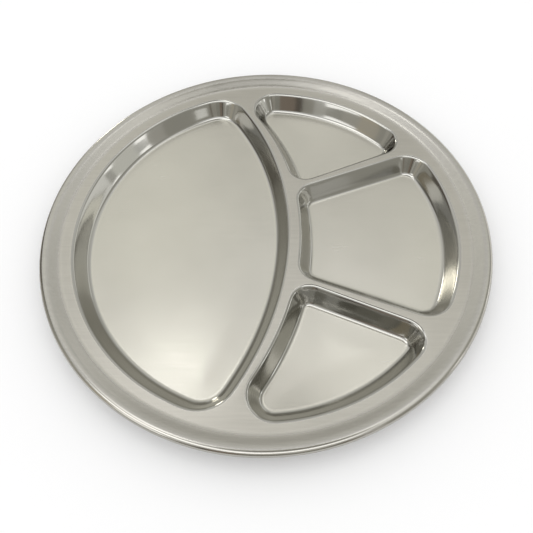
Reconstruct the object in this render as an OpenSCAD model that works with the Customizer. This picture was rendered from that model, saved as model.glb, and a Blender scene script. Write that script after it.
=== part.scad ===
// Round divided plate pressed from one sheet of steel: one wide crescent well on the left,
// a four-sided well on the right, and two three-sided wells that mirror each other.
// Sizes are in millimetres. The origin is the plate's centre, at the underside of the floors.

/* [Plate] */
// Diameter over the rim
plate_d = 320; // [300:1:360]
// Thickness of the sheet
sheet_t = 0.8; // [0.6:0.1:1.2]
// Depth of the wells, from the top of the land to the top of the floor
well_depth = 13; // [10:0.5:18]

/* [Rim] */
// Width of the raised band, from the fold in the land to the outside of the rim
band_w = 13; // [11:0.5:16]
// Rise of the band from the fold to its crest
band_rise = 4; // [3:0.2:6]
// Radius of the rim's rounded shoulder
shoulder_r = 2.8; // [1.8:0.2:3]
// Height of the rim's upright lip below its shoulder
lip_h = 0.4; // [0.2:0.2:3]
// Radius of the turned-in edge under the lip
curl_r = 1.6; // [1.4:0.1:2]

/* [Walls] */
// Slope of the well walls from the horizontal
wall_slope = 60; // [55:1:65]
// Radius of the bend from the land into a wall
brow_r = 2.5; // [2:0.5:3.5]
// Radius of the bend from a wall into the floor
foot_r = 4; // [3:0.5:5]

/* [Layout] */
// Flat land between the fold and the crescent well, at the far and near ends of the well
land_w = 6; // [5:0.5:9]
// Flat land between the fold and the side wells, at the far and near ends of the divider
end_land_w = 6.5; // [5:0.5:9]
// How far the crescent well's outer arc is centred towards the side wells
crescent_shift = 2; // [0:0.5:4]
// How far the side wells' outer arc is centred towards the crescent well
side_shift = 1; // [0:0.5:4]
// Distance from the centre to the curved divider, where it crosses the middle line
divider_x = 19; // [14:0.5:24]
// Flat top of the curved divider, where it crosses the middle line
divider_w = 6; // [5:0.5:9]
// Radius of the crescent well's side of the divider
crescent_side_r = 222; // [215:1:260]
// Radius of the side wells' side of the divider
inner_side_r = 205; // [200:1:215]
// Distance at which the straight dividers pass the centre
spoke_offset = 28; // [24:0.5:32]
// Tilt of the four-sided well's straight sides
middle_tilt = 20.8; // [18:0.1:22]
// Tilt of the three-sided wells' straight sides
outer_tilt = 22.9; // [22.5:0.1:27]

/* [Floor corners] */
// Corner radius of the crescent well's floor
crescent_corner_r = 15; // [4:0.5:20]
// Corner radius of the four-sided well's floor at the curved divider
middle_inner_r = 3.5; // [1:0.5:8]
// Corner radius of the four-sided well's floor at the rim
middle_outer_r = 7.5; // [2:0.5:12]
// Corner radius of a three-sided well's floor between the dividers
apex_r = 2.5; // [1:0.5:8]
// Corner radius of a three-sided well's floor between a straight divider and the rim
tail_r = 4; // [1:0.5:8]
// Corner radius of a three-sided well's floor between the curved divider and the rim
horn_r = 7; // [1:0.5:8]

/* [Hidden] */
$fn = 180;
steel = [0.76, 0.745, 0.705];
// Chords in each bend of a wall, and in a quarter turn of the rim
bend_steps = 2;
rim_steps = 4;
// Longest and widest chords of a wall's plan
chord_len = 14;
chord_angle = 15;
// Lap of a wall's section on the land and on the floor
lap = 0.6;

// How far a wall runs into the well
wall_run = well_depth / tan(wall_slope) + (brow_r + foot_r) * tan(wall_slope / 2);
land_z = well_depth + sheet_t;

// The plate's outline, from the outside in
plate_r = plate_d / 2;
fold_r = plate_r - band_w;
crest_r = plate_r - shoulder_r;
crest_z = land_z + band_rise;
lip_z = crest_z - shoulder_r - lip_h;

// Centres and radii of the four arcs that bound the wells
crescent_rim_r = fold_r - land_w;
side_rim_r = fold_r - end_land_w;
crescent_rim_c = [crescent_shift, 0];
side_rim_c = [-side_shift, 0];
crescent_side_c = [divider_x - crescent_side_r, 0];
inner_side_c = [divider_x + divider_w - inner_side_r, 0];

// Vectors
function unit_at(a) = [cos(a), sin(a)];
function square_to(a) = [-sin(a), cos(a)];
function angle_of(v) = atan2(v[1], v[0]);
function turn_to(a, b) = let (d = b - a) d < 0 ? d + 360 : d;
function flip(v) = [v[0], -v[1]];

// Upper point where two circles with centres on the middle line meet
function where_circles_meet(c1, r1, c2, r2) =
    let (d = c2[0] - c1[0],
         x = (r1 * r1 - r2 * r2 + d * d) / (2 * d))
    c1 + [x, sqrt(r1 * r1 - x * x)];

// Point where a line at a distance from the plate's centre meets a circle round a centre
function where_line_meets(tilt, distance, centre, r) =
    let (h = distance - square_to(tilt) * centre)
    centre + square_to(tilt) * h + unit_at(tilt) * sqrt(r * r - h * h);

// Foot of a point on a circle, and on a line at a distance from the plate's centre
function foot_on_circle(p, centre, r) = centre + (p - centre) * r / norm(p - centre);
function foot_on_line(p, tilt, distance) =
    p + square_to(tilt) * (distance - square_to(tilt) * p);

// Corner rounds where the walls start: their radii and centres
crescent_round = wall_run + crescent_corner_r;
middle_inner_round = wall_run + middle_inner_r;
middle_outer_round = wall_run + middle_outer_r;
apex_round = wall_run + apex_r;
tail_round = wall_run + tail_r;
horn_round = wall_run + horn_r;
crescent_c = where_circles_meet(crescent_rim_c, crescent_rim_r - crescent_round,
                                crescent_side_c, crescent_side_r - crescent_round);
middle_inner_c = where_line_meets(middle_tilt, spoke_offset - middle_inner_round,
                                  inner_side_c, inner_side_r + middle_inner_round);
middle_outer_c = where_line_meets(middle_tilt, spoke_offset - middle_outer_round,
                                  side_rim_c, side_rim_r - middle_outer_round);
apex_c = where_line_meets(outer_tilt, spoke_offset + apex_round,
                          inner_side_c, inner_side_r + apex_round);
tail_c = where_line_meets(outer_tilt, spoke_offset + tail_round,
                          side_rim_c, side_rim_r - tail_round);
horn_c = where_circles_meet(inner_side_c, inner_side_r + horn_round,
                            side_rim_c, side_rim_r - horn_round);

// A side of a well runs counter-clockwise round it and is one of these:
// ["round", centre, radius, from, to] is an arc that bulges out of the well,
// ["hollow", centre, radius, from, to] is an arc that bulges into the well,
// ["straight", from, to] is a straight side. All run in the land's plane, at inset 0.
function round_side(c, r, p, q) = ["round", c, r, angle_of(p - c), angle_of(q - c)];
function hollow_side(c, r, p, q) = ["hollow", c, r, angle_of(p - c), angle_of(q - c)];

crescent_rim_p = foot_on_circle(crescent_c, crescent_rim_c, crescent_rim_r);
crescent_side_p = foot_on_circle(crescent_c, crescent_side_c, crescent_side_r);
crescent_far_p = crescent_rim_c - [crescent_rim_r, 0];
crescent_sides = [
    round_side(crescent_rim_c, crescent_rim_r, crescent_rim_p, crescent_far_p),
    round_side(crescent_rim_c, crescent_rim_r, crescent_far_p, flip(crescent_rim_p)),
    round_side(flip(crescent_c), crescent_round, flip(crescent_rim_p), flip(crescent_side_p)),
    round_side(crescent_side_c, crescent_side_r, flip(crescent_side_p), crescent_side_p),
    round_side(crescent_c, crescent_round, crescent_side_p, crescent_rim_p)];

middle_side_p = foot_on_circle(middle_inner_c, inner_side_c, inner_side_r);
middle_inner_p = foot_on_line(middle_inner_c, middle_tilt, spoke_offset);
middle_outer_p = foot_on_line(middle_outer_c, middle_tilt, spoke_offset);
middle_rim_p = foot_on_circle(middle_outer_c, side_rim_c, side_rim_r);
middle_sides = [
    ["straight", middle_outer_p, middle_inner_p],
    round_side(middle_inner_c, middle_inner_round, middle_inner_p, middle_side_p),
    hollow_side(inner_side_c, inner_side_r, middle_side_p, flip(middle_side_p)),
    round_side(flip(middle_inner_c), middle_inner_round, flip(middle_side_p), flip(middle_inner_p)),
    ["straight", flip(middle_inner_p), flip(middle_outer_p)],
    round_side(flip(middle_outer_c), middle_outer_round, flip(middle_outer_p), flip(middle_rim_p)),
    round_side(side_rim_c, side_rim_r, flip(middle_rim_p), middle_rim_p),
    round_side(middle_outer_c, middle_outer_round, middle_rim_p, middle_outer_p)];

apex_side_p = foot_on_circle(apex_c, inner_side_c, inner_side_r);
apex_spoke_p = foot_on_line(apex_c, outer_tilt, spoke_offset);
tail_spoke_p = foot_on_line(tail_c, outer_tilt, spoke_offset);
tail_rim_p = foot_on_circle(tail_c, side_rim_c, side_rim_r);
horn_rim_p = foot_on_circle(horn_c, side_rim_c, side_rim_r);
horn_side_p = foot_on_circle(horn_c, inner_side_c, inner_side_r);
outer_sides = [
    hollow_side(inner_side_c, inner_side_r, horn_side_p, apex_side_p),
    round_side(apex_c, apex_round, apex_side_p, apex_spoke_p),
    ["straight", apex_spoke_p, tail_spoke_p],
    round_side(tail_c, tail_round, tail_spoke_p, tail_rim_p),
    round_side(side_rim_c, side_rim_r, tail_rim_p, horn_rim_p),
    round_side(horn_c, horn_round, horn_rim_p, horn_side_p)];

// Ends of a side, moved into the well by an inset
function side_r(s, inset) = s[0] == "round" ? s[2] - inset : s[2] + inset;
function inward(s) = let (d = s[2] - s[1]) [-d[1], d[0]] / norm(d);
function side_start(s, inset) =
    s[0] == "straight" ? s[1] + inward(s) * inset : s[1] + unit_at(s[3]) * side_r(s, inset);
function side_end(s, inset) =
    s[0] == "straight" ? s[2] + inward(s) * inset : s[1] + unit_at(s[4]) * side_r(s, inset);

// Flat area of a well at an inset: its corner points joined by chords, with the arcs' bulges
// added and the hollow sides' bulges taken away
module well_area(sides, inset) {
    difference() {
        union() {
            polygon([for (s = sides) side_start(s, inset)]);
            for (s = sides) if (s[0] == "round") bulge(s, inset);
        }
        for (s = sides) if (s[0] == "hollow") bulge(s, inset);
    }
}

// The part of a side's circle that lies beyond its chord
module bulge(s, inset) {
    p = side_start(s, inset);
    q = side_end(s, inset);
    r = side_r(s, inset);
    out = (p + q) / 2 - s[1];
    reach = out * r / norm(out);
    intersection() {
        translate(s[1]) circle(r);
        polygon([p, q, q + reach, p + reach]);
    }
}

// Points of an arc, and the same number of chords in every one
function arc_points(centre, r, from, to, steps) =
    [for (i = [0:steps]) centre + unit_at(from + (to - from) * i / steps) * r];

// Section of a wall with a lap on the land and one on the floor: inset from the land's edge
// to the right, height above the land upwards
brow = [0, -brow_r];
foot = [wall_run, foot_r - well_depth];
wall_section = concat(
    [[-lap, 0]],
    arc_points(brow, brow_r, 90, 90 - wall_slope, bend_steps),
    arc_points(foot, foot_r, 270 - wall_slope, 270, bend_steps),
    [[wall_run + lap, -well_depth], [wall_run + lap, -land_z]],
    arc_points(foot, foot_r + sheet_t, 270, 270 - wall_slope, bend_steps),
    arc_points(brow, brow_r - sheet_t, 90 - wall_slope, 90, bend_steps),
    [[-lap, -sheet_t]]);

// Points round a well, each with the direction into the well: an arc is cut in chords, and
// a straight side has only its start
function side_stations(s) =
    s[0] == "straight" ? [[s[1], inward(s)]] :
    let (hollow = s[0] == "hollow",
         sweep = hollow ? -turn_to(s[4], s[3]) : turn_to(s[3], s[4]),
         count = ceil(max(abs(sweep) / chord_angle, abs(sweep) * PI / 180 * s[2] / chord_len)))
    [for (i = [0:count - 1]) let (u = unit_at(s[3] + sweep * i / count))
        [s[1] + u * s[2], hollow ? u : -u]];

// The walls of a well: the section carried once round it
module walls(sides) {
    stations = [for (s = sides) each side_stations(s)];
    n = len(stations);
    m = len(wall_section);
    points = [for (k = stations, w = wall_section)
        let (p = k[0] + k[1] * w[0]) [p[0], p[1], land_z + w[1]]];
    polyhedron(points, [for (i = [0:n - 1], j = [0:m - 1])
        let (k = (i + 1) % n, l = (j + 1) % m)
        [i * m + j, i * m + l, k * m + l, k * m + j]]);
}

module well(sides) {
    walls(sides);
    linear_extrude(sheet_t) well_area(sides, wall_run + lap / 2);
}

// Flat land between and around the wells
module land() {
    translate([0, 0, land_z - sheet_t]) linear_extrude(sheet_t) difference() {
        circle(fold_r);
        well_area(crescent_sides, -lap / 2);
        well_area(middle_sides, -lap / 2);
        well_area(outer_sides, -lap / 2);
        mirror([0, 1]) well_area(outer_sides, -lap / 2);
    }
}

// Rim: sloping band, rounded shoulder, lip and turned-in edge
module rim() {
    fold = [fold_r, land_z];
    shoulder = [crest_r, crest_z - shoulder_r];
    curl = [plate_r - curl_r, lip_z];
    band_tilt = angle_of(shoulder - fold) + asin(shoulder_r / norm(shoulder - fold));
    rotate_extrude() polygon(concat(
        [fold],
        arc_points(shoulder, shoulder_r, 90 + band_tilt, 0, rim_steps),
        arc_points(curl, curl_r, 360, 180, 2 * rim_steps),
        arc_points(curl, curl_r - sheet_t, 180, 360, 2 * rim_steps),
        arc_points(shoulder, shoulder_r - sheet_t, 0, 90 + band_tilt, rim_steps),
        [fold - [0, sheet_t]]));
}

module pressed_tray() {
    color(steel) {
        land();
        well(crescent_sides);
        well(middle_sides);
        well(outer_sides);
        mirror([0, 1, 0]) well(outer_sides);
        rim();
    }
}

pressed_tray();
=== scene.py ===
"""A round divided plate pressed from one sheet of steel, and a plain studio to show it in.

Lengths are in metres. The plate's centre is the origin, at the underside of the well floors, and
the wide crescent well is on the -X side. Points of the plan are complex numbers: the real part
runs along X and the imaginary part along Y.
"""

import cmath
import math

import bmesh
import bpy
import numpy as np
from mathutils import Matrix, Vector, noise
from mathutils.geometry import delaunay_2d_cdt
from mathutils.kdtree import KDTree


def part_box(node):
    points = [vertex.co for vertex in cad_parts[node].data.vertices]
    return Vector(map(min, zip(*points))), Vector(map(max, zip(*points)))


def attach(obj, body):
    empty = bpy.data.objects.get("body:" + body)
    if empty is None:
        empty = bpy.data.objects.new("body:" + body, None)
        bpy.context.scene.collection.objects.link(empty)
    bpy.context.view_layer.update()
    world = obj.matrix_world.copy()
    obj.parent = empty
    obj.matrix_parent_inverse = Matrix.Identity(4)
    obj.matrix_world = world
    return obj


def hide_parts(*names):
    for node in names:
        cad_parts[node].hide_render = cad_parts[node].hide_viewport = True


bl_info = {
    "name": "Divided Steel Plate",
    "version": (1, 0, 0),
    "blender": (4, 5, 0),
    "location": "3D View > Sidebar > Plate",
    "description": "Makes a pressed steel plate with four wells, and a plain studio for it",
    "category": "Add Mesh",
}

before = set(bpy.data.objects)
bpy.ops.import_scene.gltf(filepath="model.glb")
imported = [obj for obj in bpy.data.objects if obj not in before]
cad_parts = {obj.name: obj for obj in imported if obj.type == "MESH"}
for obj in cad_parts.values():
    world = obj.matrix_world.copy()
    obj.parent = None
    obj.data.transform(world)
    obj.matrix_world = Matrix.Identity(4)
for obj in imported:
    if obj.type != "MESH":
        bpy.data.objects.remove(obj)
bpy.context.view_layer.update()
TRAY_LOW, TRAY_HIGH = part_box("pressed_tray")

MM = 0.001
SHEET = 0.8 * MM
WELL_DEPTH = 13 * MM
RIM_GAP = 0.1 * MM      # the rim is this much narrower than the CAD model's
QUARTER = math.pi / 2
WELD = 0.001 * MM       # points closer than this are one
POLISH = "polish"       # vertex attribute, from 0 on satin steel to 1 on polished steel


# Settings

def length(name, description, default):
    return bpy.props.FloatProperty(name=name, description=description, default=default,
                                   precision=5, unit="LENGTH", subtype="DISTANCE")


def angle(name, description, degrees):
    return bpy.props.FloatProperty(name=name, description=description,
                                   default=math.radians(degrees), subtype="ANGLE")


def share(name, description, default):
    return bpy.props.FloatProperty(name=name, description=description, default=default,
                                   min=0.0, max=1.0, subtype="FACTOR")


def colour(name, description, default):
    return bpy.props.FloatVectorProperty(name=name, description=description, default=default,
                                         subtype="COLOR", size=3, min=0.0, max=1.0)


class TraySizes(bpy.types.PropertyGroup):
    diameter: length("Diameter", "Diameter over the rim", TRAY_HIGH.x - TRAY_LOW.x - RIM_GAP)
    sheet: length("Sheet", "Thickness of the sheet", SHEET)
    well_depth: length("Well depth", "From the top of the land to the floors", WELL_DEPTH)
    wall_slope: angle("Wall slope", "Slope of the well walls from the horizontal", 59.5)
    brow: length("Brow radius", "Bend from the land into a wall", 2.8 * MM)
    foot: length("Foot radius", "Bend from a wall into the floor", 4.2 * MM)
    band_width: length("Band width", "From the fold to the outside of the rim", 13 * MM)
    band_rise: length("Band rise", "Rise of the band from the fold to its crest",
                      TRAY_HIGH.z - SHEET - WELL_DEPTH)
    fold: length("Fold radius", "Bend from the land into the band", 10 * MM)
    crown: length("Crown radius", "Bend from the band over its crest", 10 * MM)
    shoulder: length("Shoulder radius", "Rounded outer shoulder of the rim", 2.8 * MM)
    lip: length("Lip height", "Upright part below the shoulder", 0.4 * MM)
    curl: length("Curl radius", "Turned-in edge under the lip", 1.6 * MM)


class WellLayout(bpy.types.PropertyGroup):
    crescent_land: length("Land at the crescent well", "From the fold, at the well's ends", 6 * MM)
    side_land: length("Land at the side wells", "From the fold, at the divider's ends", 6.5 * MM)
    crescent_shift: length("Crescent shift", "Shift of its rim arc to +X", 2 * MM)
    side_shift: length("Side shift", "Shift of the side wells' rim arc to -X", 1 * MM)
    divider: length("Divider", "From the centre to the curved divider", 19 * MM)
    divider_width: length("Divider width", "Flat top of the curved divider", 6 * MM)
    crescent_side: length("Crescent side radius", "Crescent well's side of it", 222 * MM)
    inner_side: length("Inner side radius", "Side wells' side of it", 205 * MM)
    spoke: length("Spoke offset", "Distance of the straight dividers from the centre", 28 * MM)
    middle_tilt: angle("Middle tilt", "Tilt of the four-sided well's straight sides", 20.8)
    outer_tilt: angle("Outer tilt", "Tilt of the three-sided wells' straight sides", 22.9)
    crescent_corner: length("Crescent corners", "Floor corner radius", 15 * MM)
    middle_inner: length("Middle inner corners", "Floor corner radius", 3.5 * MM)
    middle_outer: length("Middle outer corners", "Floor corner radius", 7.5 * MM)
    apex: length("Apex corners", "Floor corner radius between the dividers", 2.5 * MM)
    tail: length("Tail corners", "Floor corner radius by a straight divider", 4 * MM)
    horn: length("Horn corners", "Floor corner radius by the curved divider", 7 * MM)


class SheetMesh(bpy.types.PropertyGroup):
    side_chord: length("Side chord", "Longest chord along a side", 1.6 * MM)
    seam: length("Seam", "Width of the flat strip between a foot and the floor", 1.0 * MM)
    satin_climb: length("Satin climb", "Height over a floor where its satin gives way to polish",
                        0.36 * MM)
    blend: length("Blend", "Reach of the easing between a side and its corner", 2.4 * MM)
    corner_chord: angle("Corner chord", "Widest chord round a corner", 4)
    rim_chords: bpy.props.IntProperty(name="Rim chords", default=320, min=60,
                                      description="Chords round the rim")
    bend_steps: bpy.props.IntProperty(name="Bend steps", default=8, min=3,
                                      description="Points across each bend")
    wall_steps: bpy.props.IntProperty(name="Wall steps", default=5, min=2,
                                      description="Points down each wall")
    grid: length("Grid", "Spacing of the points inside a flat area", 3.6 * MM)
    swell: length("Swell", "How far the pressed floors swell up", 0.5 * MM)
    swell_reach: length("Swell reach", "Length of the swells", 60 * MM)
    wave: length("Wave", "Height of the waves along the polished walls", 0.05 * MM)
    wave_reach: length("Wave reach", "Length of the waves", 24 * MM)
    margin: length("Margin", "Width of the still edge round a flat area", 22 * MM)


class SteelLook(bpy.types.PropertyGroup):
    floor: colour("Floor", "Satin floors of the wells", (0.525, 0.51, 0.455))
    land: colour("Land", "Brushed land", (0.44, 0.424, 0.382))
    rim: colour("Rim", "Half-polished band and shoulder", (0.42, 0.408, 0.374))
    polish: colour("Polish", "Polished walls and bends", (0.38, 0.374, 0.348))
    under: colour("Underside", "Dull underside", (0.40, 0.385, 0.35))
    floor_roughness: share("Floor roughness", "Satin floors", 0.25)
    land_roughness: share("Land roughness", "Brushed land", 0.33)
    rim_roughness: share("Rim roughness", "Half-polished rim", 0.24)
    edge_roughness: share("Edge roughness", "Outer edge of the rim", 0.14)
    polish_roughness: share("Polish roughness", "Polished walls", 0.095)
    under_roughness: share("Underside roughness", "Dull underside", 0.42)
    streak: length("Streak", "Distance between the brushed streaks", 1.3 * MM)
    streak_depth: share("Streak depth", "How much the tone changes from streak to streak", 0.16)
    cloud_depth: share("Cloud depth", "How much the tone changes over the broad stains", 0.10)


class StudioLook(bpy.types.PropertyGroup):
    camera_azimuth: angle("Camera azimuth", "Turn of the camera round the plate", 2.94)
    camera_elevation: angle("Camera elevation", "Height of the camera over the floor", 59.31)
    camera_roll: angle("Camera roll", "Tilt of the camera round its own axis", -2.72)
    camera_distance: length("Camera distance", "From the aim point", 401.6 * MM)
    aim: bpy.props.FloatVectorProperty(name="Aim", description="Point that the camera looks at",
                                       default=(1.6 * MM, -24.5 * MM, 2.3 * MM), size=3,
                                       unit="LENGTH", subtype="TRANSLATION", precision=4)
    lens: bpy.props.FloatProperty(name="Lens", description="Focal length in millimetres",
                                  default=37.8, unit="CAMERA")
    floor: colour("Floor", "Pale studio floor", (0.97, 0.97, 0.97))
    floor_roughness: share("Floor roughness", "Matt studio floor", 0.9)
    floor_gloss: share("Floor gloss", "How much the studio floor shines", 0.1)
    room: colour("Room", "Light that matt surfaces get from the room", (0.98, 0.98, 0.98))


# Plan of the wells

def dot(a, b):
    """Scalar product of two plan vectors."""
    return (a.conjugate() * b).real


def where_circles_meet(c1, r1, c2, r2):
    """Upper point where two circles with centres on the middle line meet."""
    gap = (c2 - c1).real
    x = (r1 * r1 - r2 * r2 + gap * gap) / (2 * gap)
    return c1 + complex(x, math.sqrt(r1 * r1 - x * x))


def where_line_meets(tilt, offset, centre, radius):
    """Point where a line at an offset from the origin meets a circle."""
    along = cmath.rect(1, tilt)
    rise = offset - dot(1j * along, centre)
    return centre + 1j * along * rise + along * math.sqrt(radius * radius - rise * rise)


def foot_on_circle(point, centre, radius):
    """Point of a circle that is nearest to a point."""
    return centre + (point - centre) * radius / abs(point - centre)


def foot_on_line(point, tilt, offset):
    """Point of a tilted line, at an offset from the origin, that is nearest to a point."""
    across = 1j * cmath.rect(1, tilt)
    return point + across * (offset - dot(across, point))


def arc(mesh, centre, radius, start, end, turn=1):
    """Points of an arc from start, without its end. turn is 1 counter-clockwise, -1 clockwise."""
    first = cmath.phase(start - centre)
    sweep = ((cmath.phase(end - centre) - first) * turn) % (2 * math.pi)
    count = math.ceil(max(sweep / mesh.corner_chord, sweep * radius / mesh.side_chord))
    return [centre + cmath.rect(radius, first + turn * sweep * i / count) for i in range(count)]


def line(mesh, start, end):
    """Points of a straight side from start, without its end."""
    count = math.ceil(abs(end - start) / mesh.side_chord)
    return [start + (end - start) * i / count for i in range(count)]


def softened(outline, chord, reach):
    """A closed outline in even steps, with its corners eased into its sides."""
    closed = np.array(outline + outline[:1])
    along = np.concatenate(([0], np.cumsum(np.abs(np.diff(closed)))))
    count = math.ceil(along[-1] / chord)
    even = np.interp(np.arange(count) * along[-1] / count, along, closed)
    span = np.arange(-count // 2, count // 2) * along[-1] / count / reach
    weights = np.exp(-span ** 2 / 2)
    eased = np.fft.ifft(np.fft.fft(even) * np.fft.fft(np.fft.ifftshift(weights / weights.sum())))
    return [complex(point) for point in eased]


class Plan:
    """The outlines of the four wells where their walls start, counter-clockwise."""

    def __init__(self, sizes, layout, mesh):
        self.mesh = mesh
        self.fold_r = sizes.diameter / 2 - sizes.band_width
        slope = sizes.wall_slope
        # Width of a wall in plan, with the bends at its top and bottom
        self.run = (sizes.well_depth / math.tan(slope)
                    + (sizes.brow + sizes.foot) * math.tan(slope / 2))
        self.crescent_rim = (complex(layout.crescent_shift), self.fold_r - layout.crescent_land)
        self.side_rim = (complex(-layout.side_shift), self.fold_r - layout.side_land)
        self.crescent_side = (complex(layout.divider - layout.crescent_side),
                              layout.crescent_side)
        self.inner_side = (complex(layout.divider + layout.divider_width - layout.inner_side),
                           layout.inner_side)
        outer = self.side_well(layout)
        sharp = [self.crescent_well(layout), self.middle_well(layout), outer,
                 [point.conjugate() for point in reversed(outer)]]
        self.outlines = [softened(outline, mesh.side_chord, mesh.blend) for outline in sharp]

    def crescent_well(self, layout):
        rim_c, rim_r = self.crescent_rim
        side_c, side_r = self.crescent_side
        corner_r = self.run + layout.crescent_corner
        corner = where_circles_meet(rim_c, rim_r - corner_r, side_c, side_r - corner_r)
        on_rim = foot_on_circle(corner, rim_c, rim_r)
        on_side = foot_on_circle(corner, side_c, side_r)
        return (arc(self.mesh, rim_c, rim_r, on_rim, on_rim.conjugate())
                + arc(self.mesh, corner.conjugate(), corner_r, on_rim.conjugate(),
                      on_side.conjugate())
                + arc(self.mesh, side_c, side_r, on_side.conjugate(), on_side)
                + arc(self.mesh, corner, corner_r, on_side, on_rim))

    def middle_well(self, layout):
        rim_c, rim_r = self.side_rim
        side_c, side_r = self.inner_side
        tilt, offset = layout.middle_tilt, layout.spoke
        inner_r = self.run + layout.middle_inner
        outer_r = self.run + layout.middle_outer
        inner = where_line_meets(tilt, offset - inner_r, side_c, side_r + inner_r)
        outer = where_line_meets(tilt, offset - outer_r, rim_c, rim_r - outer_r)
        on_side = foot_on_circle(inner, side_c, side_r)
        inner_end = foot_on_line(inner, tilt, offset)
        outer_end = foot_on_line(outer, tilt, offset)
        on_rim = foot_on_circle(outer, rim_c, rim_r)
        return (line(self.mesh, outer_end, inner_end)
                + arc(self.mesh, inner, inner_r, inner_end, on_side)
                + arc(self.mesh, side_c, side_r, on_side, on_side.conjugate(), -1)
                + arc(self.mesh, inner.conjugate(), inner_r, on_side.conjugate(),
                      inner_end.conjugate())
                + line(self.mesh, inner_end.conjugate(), outer_end.conjugate())
                + arc(self.mesh, outer.conjugate(), outer_r, outer_end.conjugate(),
                      on_rim.conjugate())
                + arc(self.mesh, rim_c, rim_r, on_rim.conjugate(), on_rim)
                + arc(self.mesh, outer, outer_r, on_rim, outer_end))

    def side_well(self, layout):
        rim_c, rim_r = self.side_rim
        side_c, side_r = self.inner_side
        tilt, offset = layout.outer_tilt, layout.spoke
        apex_r = self.run + layout.apex
        tail_r = self.run + layout.tail
        horn_r = self.run + layout.horn
        apex = where_line_meets(tilt, offset + apex_r, side_c, side_r + apex_r)
        tail = where_line_meets(tilt, offset + tail_r, rim_c, rim_r - tail_r)
        horn = where_circles_meet(side_c, side_r + horn_r, rim_c, rim_r - horn_r)
        apex_side = foot_on_circle(apex, side_c, side_r)
        apex_line = foot_on_line(apex, tilt, offset)
        tail_line = foot_on_line(tail, tilt, offset)
        tail_rim = foot_on_circle(tail, rim_c, rim_r)
        horn_rim = foot_on_circle(horn, rim_c, rim_r)
        horn_side = foot_on_circle(horn, side_c, side_r)
        return (arc(self.mesh, side_c, side_r, horn_side, apex_side, -1)
                + arc(self.mesh, apex, apex_r, apex_side, apex_line)
                + line(self.mesh, apex_line, tail_line)
                + arc(self.mesh, tail, tail_r, tail_line, tail_rim)
                + arc(self.mesh, rim_c, rim_r, tail_rim, horn_rim)
                + arc(self.mesh, horn, horn_r, horn_rim, horn_side))


# Node helpers

def node(tree, kind, inputs=None, **settings):
    """Adds a node. Its inputs are given by name or number, as sockets, Numbers or values."""
    made = tree.nodes.new(kind)
    for name, value in settings.items():
        setattr(made, name, value)
    for name, value in (inputs or {}).items():
        if isinstance(value, Number):
            value = value.socket
        if isinstance(value, bpy.types.NodeSocket):
            tree.links.new(value, made.inputs[name])
        else:
            made.inputs[name].default_value = value
    return made


class Number:
    """A number socket that can be written in a formula."""

    def __init__(self, tree, socket):
        self.tree = tree
        self.socket = socket

    def calc(self, operation, *others):
        """Result of one of the Math node's operations on this number and the others."""
        values = dict(enumerate((self, *others)))
        made = node(self.tree, "ShaderNodeMath", values, operation=operation)
        return Number(self.tree, made.outputs[0])

    def __add__(self, other):
        return self.calc("ADD", other)

    def __sub__(self, other):
        return self.calc("SUBTRACT", other)

    def __mul__(self, other):
        return self.calc("MULTIPLY", other)

    def __truediv__(self, other):
        return self.calc("DIVIDE", other)

    def sine(self):
        return self.calc("SINE")

    def cosine(self):
        return self.calc("COSINE")

    def step(self, start, end):
        """Goes smoothly from 0 at start to 1 at end."""
        made = node(self.tree, "ShaderNodeMapRange", {"Value": self, "From Min": start,
                                                      "From Max": end},
                    interpolation_type="SMOOTHSTEP", clamp=True)
        return Number(self.tree, made.outputs["Result"])

    def blend(self, first, second):
        """Goes evenly from first to second as this number goes from 0 to 1."""
        if not isinstance(first, Number):
            first = self * 0 + first
        return first + (first * -1 + second) * self


def mixed(tree, factor, first, second):
    """Colour that goes from first to second as the factor goes from 0 to 1."""
    first, second = (value if isinstance(value, bpy.types.NodeSocket) else (*value, 1)
                     for value in (first, second))
    made = node(tree, "ShaderNodeMix", {0: factor, 6: first, 7: second}, data_type="RGBA")
    return made.outputs[2]


def noise_value(tree, place, scale, detail):
    """Smooth noise round 0.5."""
    made = node(tree, "ShaderNodeTexNoise", {"Vector": place, "Scale": scale,
                                             "Detail": detail})
    return Number(tree, made.outputs[0])


# The sheet's swept bends

SWEEP_INPUTS = {
    **dict.fromkeys(("Well depth", "Wall slope", "Brow radius", "Foot radius", "Plate radius",
                     "Band width", "Band rise", "Fold radius", "Crown radius",
                     "Shoulder radius", "Lip height", "Curl radius", "Land height", "Seam"),
                    "Float"),
    **dict.fromkeys(("Rim chords", "Bend steps", "Wall steps"), "Int"),
    "Steel": "Material",
}


def at(tree, x, y):
    """Point of a section as a vector socket."""
    return node(tree, "ShaderNodeCombineXYZ", {"X": x, "Y": y}).outputs[0]


def section_arc(tree, centre, radius, start, sweep, steps):
    """Arc of a section. X runs across the sheet and Y downwards."""
    made = node(tree, "GeometryNodeCurveArc", {"Resolution": steps, "Radius": radius,
                                               "Start Angle": start, "Sweep Angle": sweep})
    moved = node(tree, "GeometryNodeTransform", {"Geometry": made.outputs["Curve"],
                                                 "Translation": at(tree, *centre)})
    return moved.outputs["Geometry"]


def section_line(tree, start, end, steps):
    """Straight part of a section, with as many points as steps says."""
    made = node(tree, "GeometryNodeCurvePrimitiveLine", {"Start": at(tree, *start),
                                                         "End": at(tree, *end)})
    cut = node(tree, "GeometryNodeResampleCurve", {"Curve": made.outputs["Curve"],
                                                   "Count": steps})
    return cut.outputs["Curve"]


def join(tree, parts):
    """Several geometries as one."""
    made = node(tree, "GeometryNodeJoinGeometry")
    for part in parts:
        tree.links.new(part, made.inputs["Geometry"])
    return made.outputs["Geometry"]


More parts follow.
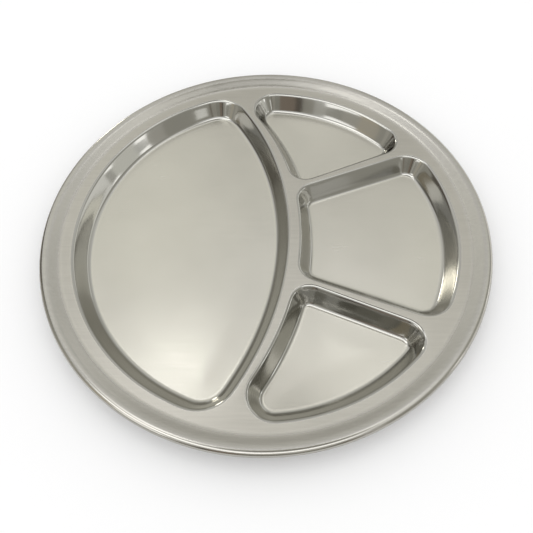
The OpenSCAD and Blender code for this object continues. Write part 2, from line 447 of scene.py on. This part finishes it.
def swept(tree, path, section):
    """Carries a section along a clockwise path, so that its X runs inwards."""
    upright = node(tree, "GeometryNodeSetCurveNormal", {"Curve": path}, mode="Z_UP")
    made = node(tree, "GeometryNodeCurveToMesh", {"Curve": upright.outputs["Curve"],
                                                  "Profile Curve": section})
    return made.outputs["Mesh"]


def point_at(centre, radius, turn):
    """Point of a circle at a turn from X, as two coordinates."""
    return turn.cosine() * radius + centre[0], turn.sine() * radius + centre[1]


def wall_section(tree, size):
    """Brow, wall and foot, from the land's edge down to a flat seam on the floor."""
    slope, brow, foot, depth, seam = (size[name] for name in (
        "Wall slope", "Brow radius", "Foot radius", "Well depth", "Seam"))
    run = depth / slope.calc("TANGENT") + (brow + foot) * (slope * 0.5).calc("TANGENT")
    brow_c, foot_c = (0, brow), (run, depth - foot)
    brow_end = slope - QUARTER
    foot_start = slope + QUARTER
    return join(tree, [
        section_arc(tree, brow_c, brow, -QUARTER, slope, size["Bend steps"]),
        section_line(tree, point_at(brow_c, brow, brow_end), point_at(foot_c, foot, foot_start),
                     size["Wall steps"]),
        section_arc(tree, foot_c, foot, foot_start, slope * -1, size["Bend steps"]),
        section_line(tree, (run, depth), (run + seam, depth), 2)])


def rim_section(tree, size):
    """Fold, band, shoulder, lip and curl. X runs in from the rim, Y down from the crest."""
    width, rise, fold, crown, shoulder, lip, curl = (size[name] for name in (
        "Band width", "Band rise", "Fold radius", "Crown radius", "Shoulder radius",
        "Lip height", "Curl radius"))
    across, down = width - shoulder, rise - crown
    reach = (across * across + down * down).calc("SQRT")
    tilt = down.calc("ARCTAN2", across) + (crown / reach).calc("ARCSINE")
    shoulder_c = (shoulder, shoulder)
    crown_c = (shoulder, crown)
    curl_c = (curl, shoulder + lip)
    fold_c = (width + fold * (tilt * 0.5).calc("TANGENT"), rise - fold)
    crown_end = tilt + QUARTER * 3
    fold_start = tilt + QUARTER
    return join(tree, [
        section_arc(tree, curl_c, curl, 0, QUARTER * 2, size["Bend steps"]),
        section_line(tree, (0, shoulder + lip), (0, shoulder), 2),
        section_arc(tree, shoulder_c, shoulder, QUARTER * 2, QUARTER, size["Bend steps"]),
        section_arc(tree, crown_c, crown, QUARTER * 3, tilt, size["Bend steps"]),
        section_line(tree, point_at(crown_c, crown, crown_end),
                     point_at(fold_c, fold, fold_start), size["Wall steps"]),
        section_arc(tree, fold_c, fold, fold_start, tilt * -1, size["Bend steps"])])


def sweep_tree():
    """Walls of the wells along the outlines that come in, and the rim round them."""
    tree = bpy.data.node_groups.new("Pressed bends", "GeometryNodeTree")
    tree.interface.new_socket("Geometry", in_out="INPUT", socket_type="NodeSocketGeometry")
    for name, kind in SWEEP_INPUTS.items():
        tree.interface.new_socket(name, in_out="INPUT", socket_type="NodeSocket" + kind)
    tree.interface.new_socket("Geometry", in_out="OUTPUT", socket_type="NodeSocketGeometry")
    given = node(tree, "NodeGroupInput")
    size = {name: Number(tree, given.outputs[name]) for name in SWEEP_INPUTS}
    outlines = node(tree, "GeometryNodeMeshToCurve", {"Mesh": given.outputs["Geometry"]})
    walls = swept(tree, outlines.outputs["Curve"], wall_section(tree, size))
    circle = node(tree, "GeometryNodeCurvePrimitiveCircle",
                  {"Resolution": size["Rim chords"], "Radius": size["Plate radius"]})
    clockwise = node(tree, "GeometryNodeReverseCurve", {"Curve": circle.outputs["Curve"]})
    crest = node(tree, "ShaderNodeCombineXYZ", {"Z": size["Land height"] + size["Band rise"]})
    raised = node(tree, "GeometryNodeTransform", {"Geometry": clockwise.outputs["Curve"],
                                                  "Translation": crest.outputs[0]})
    rim = swept(tree, raised.outputs["Geometry"], rim_section(tree, size))
    welded = node(tree, "GeometryNodeMergeByDistance",
                  {"Geometry": join(tree, [walls, rim]), "Distance": WELD})
    real = node(tree, "GeometryNodeRealizeInstances", {"Geometry": welded.outputs["Geometry"]})
    steel = node(tree, "GeometryNodeSetMaterial", {"Geometry": real.outputs["Geometry"],
                                                   "Material": given.outputs["Steel"]})
    out = node(tree, "NodeGroupOutput")
    tree.links.new(steel.outputs["Geometry"], out.inputs["Geometry"])
    return tree


def set_inputs(modifier, values):
    """Sets a Geometry Nodes modifier's inputs, which are given by name."""
    for item in modifier.node_group.interface.items_tree:
        if item.in_out == "INPUT" and item.name in values:
            modifier[item.identifier] = values[item.name]


def new_object(name, data):
    made = bpy.data.objects.new(name, data)
    bpy.context.scene.collection.objects.link(made)
    return made


def plain_mesh(source, name):
    """The evaluated object as a plain mesh. The source object is removed."""
    bpy.context.view_layer.update()
    depsgraph = bpy.context.evaluated_depsgraph_get()
    made = bpy.data.meshes.new_from_object(source.evaluated_get(depsgraph))
    made.name = name
    bpy.data.objects.remove(source)
    return made


def swept_bends(sizes, mesh, plan, land_z, steel):
    """The walls and the rim as one plain mesh, still open where the flat areas come."""
    points, edges = [], []
    for outline in plan.outlines:
        first, count = len(points), len(outline)
        points += [(p.real, p.imag, land_z) for p in reversed(outline)]
        edges += [(first + i, first + (i + 1) % count) for i in range(count)]
    loops = bpy.data.meshes.new("well_outlines")
    loops.from_pydata(points, edges, [])
    host = new_object("well_outlines", loops)
    modifier = host.modifiers.new("Pressed bends", "NODES")
    modifier.node_group = sweep_tree()
    set_inputs(modifier, {
        "Well depth": sizes.well_depth, "Wall slope": sizes.wall_slope,
        "Brow radius": sizes.brow, "Foot radius": sizes.foot,
        "Plate radius": sizes.diameter / 2, "Band width": sizes.band_width,
        "Band rise": sizes.band_rise, "Fold radius": sizes.fold,
        "Crown radius": sizes.crown, "Shoulder radius": sizes.shoulder,
        "Lip height": sizes.lip, "Curl radius": sizes.curl, "Land height": land_z,
        "Seam": mesh.seam, "Rim chords": mesh.rim_chords, "Bend steps": mesh.bend_steps,
        "Wall steps": mesh.wall_steps, "Steel": steel})
    return plain_mesh(host, "pressed_bends")


# Flat areas between the bends

EDGE_ROOM = 0.6         # share of the grid's spacing that stays free along an edge
TOUCH = 1e-9            # the triangulation joins points that are closer than this
SLIVER = 0.005 * MM     # a triangle is dropped if its double area is less than this squared.
                        # A coarser value also drops real ones at the corners, and leaves slits
LEVEL = 0.02 * MM       # an open edge this near to a height belongs to it
FLAT = 0.99             # least vertical share of a flat face's normal
LAND_SWELL = 0.3        # swell of the land against that of the floors
WAVE_CLIMB = 0.4        # how fast the waves change up a wall, against along it
WELL_ROOM = 5 * MM      # every well ends further than this inside the fold


def boundary_loops(sheet):
    """Open edges of the sheet as loops of vertices, each in order."""
    links = {}
    for edge in sheet.edges:
        if len(edge.link_faces) == 1:
            a, b = edge.verts
            links.setdefault(a, []).append(b)
            links.setdefault(b, []).append(a)
    loops, seen = [], set()
    for start in sorted(links, key=lambda v: v.index):
        if start in seen:
            continue
        loop, here = [start], links[start][0]
        seen.add(start)
        while here not in seen:
            loop.append(here)
            seen.add(here)
            here = next((v for v in links[here] if v not in seen), start)
        loops.append(loop)
    return loops


def inside(points, loop):
    """True for each point that lies inside a loop, both in plan."""
    x, y = points[:, 0, None], points[:, 1, None]
    a = np.array([v.co[:2] for v in loop])
    b = np.roll(a, -1, axis=0)
    crosses = (a[:, 1] > y) != (b[:, 1] > y)
    with np.errstate(divide="ignore", invalid="ignore"):
        at_x = a[:, 0] + (y - a[:, 1]) * (b[:, 0] - a[:, 0]) / (b[:, 1] - a[:, 1])
    return (np.sum(crosses & (x < at_x), axis=1) % 2).astype(bool)


def in_area(points, outer, holes):
    """True for each point that lies inside the outer loop and in none of the holes."""
    keep = inside(points, outer)
    for hole in holes:
        keep &= ~inside(points, hole)
    return keep


def fill(sheet, outer, holes, mesh, lift):
    """Fills the flat area between an outer loop and its holes. lift gives the height to add
    at a point, from its distance to the nearest edge."""
    rings = [outer] + holes
    edge_verts = [v for ring in rings for v in ring]
    z = outer[0].co.z
    tree = KDTree(len(edge_verts))
    for i, v in enumerate(edge_verts):
        tree.insert((v.co.x, v.co.y, 0), i)
    tree.balance()
    low = np.min([v.co[:2] for v in outer], axis=0)
    high = np.max([v.co[:2] for v in outer], axis=0)
    step = Vector((mesh.grid, mesh.grid * math.sqrt(3) / 2))
    rows = math.ceil((high[1] - low[1]) / step.y)
    columns = math.ceil((high[0] - low[0]) / step.x)
    grid = np.array([(low[0] + (i + (j % 2) / 2) * step.x, low[1] + (j + 0.5) * step.y)
                     for j in range(rows) for i in range(columns)])
    inner = []
    for x, y in grid[in_area(grid, outer, holes)]:
        distance = tree.find((x, y, 0))[2]
        if distance > mesh.grid * EDGE_ROOM:
            inner.append(sheet.verts.new((x, y, z + lift(x, y, distance))))
    verts = edge_verts + inner
    edges, first = [], 0
    for ring in rings:
        edges += [(first + i, first + (i + 1) % len(ring)) for i in range(len(ring))]
        first += len(ring)
    flat = [Vector(v.co[:2]) for v in verts]
    _, _, faces, sources, _, _ = delaunay_2d_cdt(flat, edges, [], 0, TOUCH)
    places = [source[0] for source in sources]
    triangles = [[places[i] for i in face] for face in faces]
    corners = np.array([[flat[i] for i in face] for face in triangles])
    keep = in_area(corners.mean(axis=1), outer, holes)
    (ax, ay), (bx, by) = (corners[:, 1] - corners[:, 0]).T, (corners[:, 2] - corners[:, 0]).T
    keep &= np.abs(ax * by - ay * bx) > SLIVER ** 2
    for face, kept in zip(triangles, keep):
        if kept:
            sheet.faces.new([verts[i] for i in face])


def swell_lift(mesh, top):
    """Gentle uneven swell of a pressed flat area, still at its edges."""
    def lift(x, y, distance):
        wave = noise.noise(Vector((x, y, 0)) / mesh.swell_reach) * 0.5 + 0.5
        still = min(distance / mesh.margin, 1)
        return top * wave * still * still * (3 - 2 * still)
    return lift


def make_wavy(sheet, sizes, mesh):
    """Moves the walls in and out a little, as the press and the polishing wheel leave them."""
    sheet.normal_update()
    top = sizes.sheet + sizes.well_depth
    for v in sheet.verts:
        if v.co.xy.length < sizes.diameter / 2 - sizes.band_width:
            edge = min(v.co.z - sizes.sheet, top - v.co.z) / sizes.brow
            still = min(max(edge, 0), 1)
            place = Vector((v.co.x, v.co.y, v.co.z * WAVE_CLIMB)) / mesh.wave_reach
            v.co += v.normal * noise.noise(place) * 2 * mesh.wave * still


def tray_mesh(sizes, layout, mesh, steel):
    """The whole sheet: swept bends, floors and land, given their thickness."""
    plan = Plan(sizes, layout, mesh)
    land_z = sizes.sheet + sizes.well_depth
    sheet = bmesh.new()
    sheet.from_mesh(swept_bends(sizes, mesh, plan, land_z, steel))
    polish = sheet.verts.layers.float.new(POLISH)
    sheet.verts.index_update()
    loops = boundary_loops(sheet)
    floors = [loop for loop in loops if abs(loop[0].co.z - sizes.sheet) < LEVEL]
    level = [loop for loop in loops if abs(loop[0].co.z - land_z) < LEVEL]
    level.sort(key=lambda loop: -max(v.co.xy.length for v in loop))
    if len(floors) != len(plan.outlines) or len(level) != len(plan.outlines) + 1:
        raise RuntimeError(f"the bends left {len(floors)} floors and {len(level)} land edges")
    edge_verts = {v for loop in loops for v in loop}
    for v in sheet.verts:
        in_well = v.co.xy.length < plan.fold_r - WELL_ROOM and v not in edge_verts
        climb = (v.co.z - sizes.sheet) / mesh.satin_climb
        v[polish] = min(max(climb, 0), 1) if in_well else 0
    make_wavy(sheet, sizes, mesh)
    for loop in floors:
        fill(sheet, loop, [], mesh, swell_lift(mesh, mesh.swell))
    fill(sheet, level[0], level[1:], mesh, swell_lift(mesh, mesh.swell * LAND_SWELL))
    bmesh.ops.remove_doubles(sheet, verts=sheet.verts, dist=WELD)
    bmesh.ops.recalc_face_normals(sheet, faces=sheet.faces)
    sheet.faces.ensure_lookup_table()
    top = max((f for f in sheet.faces if abs(f.normal.z) > FLAT),
              key=lambda f: f.calc_center_median().z)
    if top.normal.z < 0:
        bmesh.ops.reverse_faces(sheet, faces=sheet.faces)
    for face in sheet.faces:
        face.smooth = True
    made = bpy.data.meshes.new("pressed_tray_sheet")
    sheet.to_mesh(made)
    sheet.free()
    made.materials.append(steel)
    shell = new_object("pressed_tray_shell", made)
    thicken = shell.modifiers.new("Sheet", "SOLIDIFY")
    thicken.thickness = sizes.sheet
    thicken.offset = -1
    thicken.use_even_offset = True
    return plain_mesh(shell, "pressed_tray_mesh")


# Material

# Where one finish of the steel goes over into the next: heights over the table, distances in
# from the outside of the rim, and the upward share of the normal
FLOOR_TO_LAND = (2.0 * MM, 8.0 * MM)
LAND_TO_BAND = (14.5 * MM, 11.5 * MM)
BAND_TO_EDGE = (4.4 * MM, 3.0 * MM)
TOP_TO_UNDERSIDE = (0.02, -0.02)

# The marks on it: scales are per metre, bumps are a strength and a height
STREAK_LENGTH = 24      # of a brushed streak, in widths
STREAK_DETAIL = 3.0
FLOOR_STREAKS = 0.3     # depth of the streaks on the floors against that on the land
CLOUD_SCALE = 26.0
CLOUD_DETAIL = 2.0
DENT_SCALE = 90.0
DENT_DETAIL = 1.0
ROUGHNESS_SPREAD = 0.06 # how much the streaks and stains change the roughness
GRAIN_BUMP = (0.02, 0.02 * MM)
DENT_BUMP = (0.25, 0.05 * MM)


def bump(tree, strength_and_height, value, **under):
    """Normal of a surface raised by a value. Normal= gives the one that it stands on."""
    strength, height = strength_and_height
    made = node(tree, "ShaderNodeBump", {"Strength": strength, "Distance": height,
                                         "Height": value, **under})
    return made.outputs[0]


def steel_material(look, sizes):
    """Satin floors, brushed land and rim, polished walls and bends, dull underside."""
    steel = bpy.data.materials.new("pressed_steel")
    steel.use_nodes = True
    tree = steel.node_tree
    tree.nodes.clear()
    place = node(tree, "ShaderNodeTexCoord").outputs["Object"]
    parts = node(tree, "ShaderNodeSeparateXYZ", {"Vector": place})
    x, y, z = (Number(tree, parts.outputs[axis]) for axis in "XYZ")
    radius = (x * x + y * y).calc("SQRT")
    facing = node(tree, "ShaderNodeSeparateXYZ",
                  {"Vector": node(tree, "ShaderNodeNewGeometry").outputs["Normal"]})

    # Each goes from 0 to 1 where its finish starts
    outside = sizes.diameter / 2
    raised = z.step(*FLOOR_TO_LAND)
    band = radius.step(*(outside - inset for inset in LAND_TO_BAND))
    edge = radius.step(*(outside - inset for inset in BAND_TO_EDGE))
    wall = Number(tree, node(tree, "ShaderNodeAttribute",
                             attribute_name=POLISH).outputs["Fac"])
    below = Number(tree, facing.outputs["Z"]).step(*TOP_TO_UNDERSIDE)

    streaks = node(tree, "ShaderNodeMapping", {"Vector": place,
                                               "Scale": (1 / STREAK_LENGTH, 1, 1)})
    fine = noise_value(tree, streaks.outputs[0], 1 / look.streak, STREAK_DETAIL)
    cloud = noise_value(tree, place, CLOUD_SCALE, CLOUD_DETAIL)
    depth = raised.blend(look.streak_depth * FLOOR_STREAKS, look.streak_depth)
    tone = (fine - 0.5) * depth + (cloud - 0.5) * look.cloud_depth + 1

    tint = mixed(tree, raised, look.floor, look.land)
    tint = mixed(tree, band, tint, look.rim)
    tint = node(tree, "ShaderNodeVectorMath", {"Vector": tint, "Scale": tone},
                operation="SCALE").outputs[0]
    tint = mixed(tree, wall, tint, look.polish)
    tint = mixed(tree, below, tint, look.under)

    rough = raised.blend(look.floor_roughness, look.land_roughness)
    rough = band.blend(rough, look.rim_roughness)
    rough = rough + (fine - 0.5) * ROUGHNESS_SPREAD + (cloud - 0.5) * ROUGHNESS_SPREAD
    rough = edge.blend(rough, look.edge_roughness)
    rough = wall.blend(rough, look.polish_roughness)
    rough = below.blend(rough, look.under_roughness)

    grain = bump(tree, GRAIN_BUMP, fine)
    dents = bump(tree, DENT_BUMP, noise_value(tree, place, DENT_SCALE, DENT_DETAIL),
                 Normal=grain)
    shade = node(tree, "ShaderNodeBsdfPrincipled", {"Base Color": tint, "Metallic": 1.0,
                                                    "Roughness": rough, "Normal": dents})
    out = node(tree, "ShaderNodeOutputMaterial")
    tree.links.new(shade.outputs[0], out.inputs["Surface"])
    return steel


# Studio

SENSOR = 36             # width of the camera's sensor in millimetres
CLIP = (10 * MM, 50)    # nearest and farthest that the camera sees
FLOOR_HALF = 4.0        # half the side of the studio floor
FLAG_CENTRE = complex(0.1, 0.35)
FLAG_HEIGHT = 3.0
FLAG_RADIUS = 0.5
FLAG_CHORDS = 24
CARD_DISTANCE = 0.9
CARD_GAP = 4 * MM       # each card hangs this much in front of the one before
CARD_CHORD = 3          # widest chord of a card, in degrees


def camera_turn(studio):
    """The camera's own axes, as the columns of a matrix."""
    back = Vector((math.sin(studio.camera_azimuth) * math.cos(studio.camera_elevation),
                   -math.cos(studio.camera_azimuth) * math.cos(studio.camera_elevation),
                   math.sin(studio.camera_elevation)))
    right = Vector((math.cos(studio.camera_azimuth), math.sin(studio.camera_azimuth), 0))
    level = Matrix((right, back.cross(right), back)).transposed()
    return level @ Matrix.Rotation(studio.camera_roll, 3, "Z")


def make_camera(studio):
    turn = camera_turn(studio)
    data = bpy.data.cameras.new("camera")
    data.lens = studio.lens
    data.sensor_width = SENSOR
    data.clip_start, data.clip_end = CLIP
    camera = new_object("camera", data)
    place = Vector(studio.aim) + turn.col[2] * studio.camera_distance
    camera.matrix_world = Matrix.Translation(place) @ turn.to_4x4()
    bpy.context.scene.camera = camera


def make_world(studio):
    """White for the camera and in reflections, the room's light for matt surfaces."""
    world = bpy.data.worlds.new("studio")
    world.use_nodes = True
    tree = world.node_tree
    tree.nodes.clear()
    ray = node(tree, "ShaderNodeLightPath")
    seen = (Number(tree, ray.outputs["Is Camera Ray"])
            .calc("MAXIMUM", ray.outputs["Is Glossy Ray"])
            .calc("MAXIMUM", ray.outputs["Is Transmission Ray"]))
    room = node(tree, "ShaderNodeBackground", {"Color": (*studio.room, 1), "Strength": 1.0})
    white = node(tree, "ShaderNodeBackground", {"Color": (1, 1, 1, 1), "Strength": 1.0})
    either = node(tree, "ShaderNodeMixShader", {0: seen, 1: room.outputs[0],
                                                2: white.outputs[0]})
    out = node(tree, "ShaderNodeOutputWorld")
    tree.links.new(either.outputs[0], out.inputs["Surface"])
    bpy.context.scene.world = world


def make_floor(studio):
    mesh = bpy.data.meshes.new("studio_floor")
    corners = ((-1, -1), (1, -1), (1, 1), (-1, 1))
    mesh.from_pydata([(x * FLOOR_HALF, y * FLOOR_HALF, 0) for x, y in corners], [],
                     [(0, 1, 2, 3)])
    floor = new_object("studio_floor", mesh)
    material = bpy.data.materials.new("studio_floor")
    material.use_nodes = True
    shade = material.node_tree.nodes["Principled BSDF"]
    shade.inputs["Base Color"].default_value = (*studio.floor, 1)
    shade.inputs["Roughness"].default_value = studio.floor_roughness
    shade.inputs["Specular IOR Level"].default_value = studio.floor_gloss
    mesh.materials.append(material)


def glow(name, foot, head=None, low=0.0, high=1.0):
    """Card surface of one tone, or of two from its foot to its head."""
    material = bpy.data.materials.new(name)
    material.use_nodes = True
    tree = material.node_tree
    tree.nodes.clear()
    light = node(tree, "ShaderNodeEmission", {"Color": (*foot, 1)})
    if head:
        place = node(tree, "ShaderNodeSeparateXYZ",
                     {"Vector": node(tree, "ShaderNodeTexCoord").outputs["Object"]})
        rise = Number(tree, place.outputs["Z"]).step(low, high)
        tree.links.new(mixed(tree, rise, foot, head), light.inputs["Color"])
    out = node(tree, "ShaderNodeOutputMaterial")
    tree.links.new(light.outputs[0], out.inputs["Surface"])
    return material


def show_in_reflections(made, surface):
    """Gives a card its surface, and hides it from all but reflections."""
    made.data.materials.append(surface)
    made.visible_camera = False
    made.visible_diffuse = False
    made.visible_shadow = False


def card(name, distance, azimuths, elevations, tone):
    """An upright curved card round the plate that only shows in reflections. Its angles are
    in degrees as the plate sees it, and its tone goes from its foot to its head."""
    first, last = azimuths
    steps = math.ceil((last - first) / CARD_CHORD)
    ring = [cmath.rect(distance, math.radians(first + (last - first) * i / steps))
            for i in range(steps + 1)]
    low, high = (distance * math.tan(math.radians(e)) for e in elevations)
    mesh = bpy.data.meshes.new(name)
    mesh.from_pydata([(p.real, p.imag, z) for z in (low, high) for p in ring], [],
                     [(i, i + 1, i + steps + 2, i + steps + 1) for i in range(steps)])
    show_in_reflections(new_object(name, mesh), glow(name, *tone, low, high))


def ceiling_flag():
    """Grey disc high over the plate, where the camera's own shade is."""
    ring = [cmath.rect(FLAG_RADIUS, math.tau * i / FLAG_CHORDS) + FLAG_CENTRE
            for i in range(FLAG_CHORDS)]
    mesh = bpy.data.meshes.new("ceiling_flag")
    mesh.from_pydata([(p.real, p.imag, FLAG_HEIGHT) for p in ring], [],
                     [tuple(range(FLAG_CHORDS))])
    show_in_reflections(new_object("ceiling_flag", mesh), glow("ceiling_flag", STONE))


def area_lamp(name, place, size, power):
    """Flat lamp that shines at the plate's centre. Its power is in watts."""
    data = bpy.data.lights.new(name, "AREA")
    data.shape = "RECTANGLE"
    data.size, data.size_y = size
    data.energy = power
    lamp = new_object(name, data)
    lamp.location = place
    lamp.rotation_euler = (-Vector(place)).to_track_quat("-Z", "Y").to_euler()
    lamp.visible_camera = False


# Lamps over the plate: place, width and depth, and power
LAMPS = {
    "overhead_softbox": ((-0.44, 0.60, 2.0), (0.36, 0.30), 0.78),
    "right_lamp_high": ((0.28, 0.68, 2.0), (0.30, 0.30), 0.36),
    "front_softbox": ((-0.18, -1.05, 2.0), (0.40, 0.40), 2.0),
}

# Tones of the cards, from the lightest to the darkest
DAYLIGHT = (7.6, 7.4, 6.8)
GLOW = (3.2, 3.2, 3.1)
BRIGHT = (2.4, 2.4, 2.4)
WHITE = (1.32, 1.32, 1.28)
PALE = (1.08, 1.08, 1.02)
CALM = (0.90, 0.90, 0.87)
CREAM = (0.80, 0.71, 0.55)
GREY = (0.71, 0.70, 0.66)
MIST = (0.65, 0.63, 0.57)
DUSK = (0.53, 0.52, 0.47)
STONE = (0.36, 0.35, 0.31)
BROWN = (0.36, 0.30, 0.25)
SHADE = (0.16, 0.14, 0.12)

# Cards round the plate, from the back one to the front one: azimuths and elevations in degrees,
# and tones at foot and head
CARDS = {
    "far_backdrop": ((35, 104), (-2, 56), (GREY, CALM)),
    "far_lamp": ((77, 88), (34, 40), (WHITE, WHITE)),
    "left_backdrop": ((104, 136), (-2, 60), (CALM, PALE)),
    "far_right_high": ((35, 61), (34, 60), (CALM, PALE)),
    "far_low": ((66, 112), (-2, 31), (DUSK, GREY)),
    "viewer_ring": ((172, 322), (57, 78), (BRIGHT, BRIGHT)),
    "left_ring": ((184, 208), (52, 74), (GLOW, GLOW)),
    "right_ring": ((-38, 50), (64, 78), (WHITE, WHITE)),
    "right_high": ((-45, 35), (28, 60), (DUSK, GREY)),
    "left_shade": ((131, 149), (-2, 30), (STONE, GREY)),
    "left_dark": ((149, 168), (-2, 50), (SHADE, STONE)),
    "left_window": ((121, 128), (8, 21), (DAYLIGHT, DAYLIGHT)),
    "left_wall": ((168, 188), (-2, 50), (DUSK, DUSK)),
    "left_mist": ((-172, -162), (-2, 40), (MIST, MIST)),
    "left_post": ((-162, -157), (-2, 40), (DUSK, DUSK)),
    "left_cream": ((-157, -146), (-2, 34), (MIST, CREAM)),
    "left_grey": ((-146, -136), (-2, 34), (MIST, MIST)),
    "left_plain": ((-136, -126), (-2, 34), (DUSK, DUSK)),
    "left_glow": ((-146, -126), (20, 36), (BRIGHT, BRIGHT)),
    "left_pale": ((-126, -120), (-2, 34), (MIST, CALM)),
    "viewer_shade_left": ((-120, -113), (-2, 34), (STONE, MIST)),
    "viewer_dark": ((-113, -109), (-2, 34), (SHADE, SHADE)),
    "viewer_brown": ((-109, -99), (-2, 36), (BROWN, BROWN)),
    "viewer_shade": ((-99, -84), (-2, 36), (STONE, DUSK)),
    "viewer_grey": ((-84, -66), (-2, 34), (STONE, MIST)),
    "viewer_brown_right": ((-66, -61), (-2, 34), (BROWN, STONE)),
    "right_shade": ((-61, -30), (-2, 34), (DUSK, DUSK)),
    "right_low": ((-54, -44), (-2, 10), (GREY, GREY)),
    "right_lamp": ((-57, -49), (14, 21), (WHITE, WHITE)),
    "right_grey": ((-30, -20), (-2, 30), (MIST, GREY)),
    "right_pale": ((-20, -12), (-2, 14), (GREY, CALM)),
    "right_white": ((-12, 4), (-2, 24), (PALE, PALE)),
    "right_door": ((4, 9), (-2, 24), (GREY, GREY)),
    "right_wide": ((9, 32), (-2, 20), (WHITE, WHITE)),
    "right_glow": ((-20, -13), (14, 24), (BRIGHT, BRIGHT)),
    "right_glint": ((3, 9), (10, 20), (BRIGHT, BRIGHT)),
    "right_far": ((32, 60), (-2, 24), (WHITE, PALE)),
}


# Operators and panel

class PLATE_OT_tray(bpy.types.Operator):
    """Make the pressed steel sheet with its four wells and rim"""
    bl_idname = "plate.tray"
    bl_label = "Pressed Tray"

    def execute(self, context):
        scene = context.scene
        steel = steel_material(scene.plate_steel, scene.plate_sizes)
        mesh = tray_mesh(scene.plate_sizes, scene.plate_layout, scene.plate_mesh, steel)
        tray = new_object("pressed_tray_sheet", mesh)
        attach(tray, "root")
        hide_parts("pressed_tray")
        return {"FINISHED"}


class PLATE_OT_stage(bpy.types.Operator):
    """Make the camera, the floor, the lamps and the cards"""
    bl_idname = "plate.stage"
    bl_label = "Studio"

    def execute(self, context):
        studio = context.scene.plate_studio
        context.scene.view_settings.view_transform = "Standard"
        make_camera(studio)
        make_world(studio)
        make_floor(studio)
        for name, (place, size, power) in LAMPS.items():
            area_lamp(name, place, size, power)
        ceiling_flag()
        for layer, (name, (azimuths, elevations, tone)) in enumerate(CARDS.items()):
            card(name, CARD_DISTANCE - layer * CARD_GAP, azimuths, elevations, tone)
        return {"FINISHED"}


class PLATE_PT_panel(bpy.types.Panel):
    """Sizes of the plate and its studio"""
    bl_idname = "PLATE_PT_panel"
    bl_label = "Divided Plate"
    bl_space_type = "VIEW_3D"
    bl_region_type = "UI"
    bl_category = "Plate"

    def draw(self, context):
        scene = context.scene
        self.layout.operator(PLATE_OT_tray.bl_idname)
        self.layout.operator(PLATE_OT_stage.bl_idname)
        for name, group in GROUPS.items():
            box = self.layout.box()
            for item in group.__annotations__:
                box.prop(getattr(scene, name), item)


GROUPS = {"plate_sizes": TraySizes, "plate_layout": WellLayout, "plate_mesh": SheetMesh,
          "plate_steel": SteelLook, "plate_studio": StudioLook}
CLASSES = (*GROUPS.values(), PLATE_OT_tray, PLATE_OT_stage, PLATE_PT_panel)


def register():
    for cls in CLASSES:
        bpy.utils.register_class(cls)
    for name, group in GROUPS.items():
        setattr(bpy.types.Scene, name, bpy.props.PointerProperty(type=group))


def unregister():
    for name in GROUPS:
        delattr(bpy.types.Scene, name)
    for cls in reversed(CLASSES):
        bpy.utils.unregister_class(cls)


def main():
    register()
    bpy.ops.plate.tray()
    bpy.ops.plate.stage()


if __name__ == "__main__":
    main()
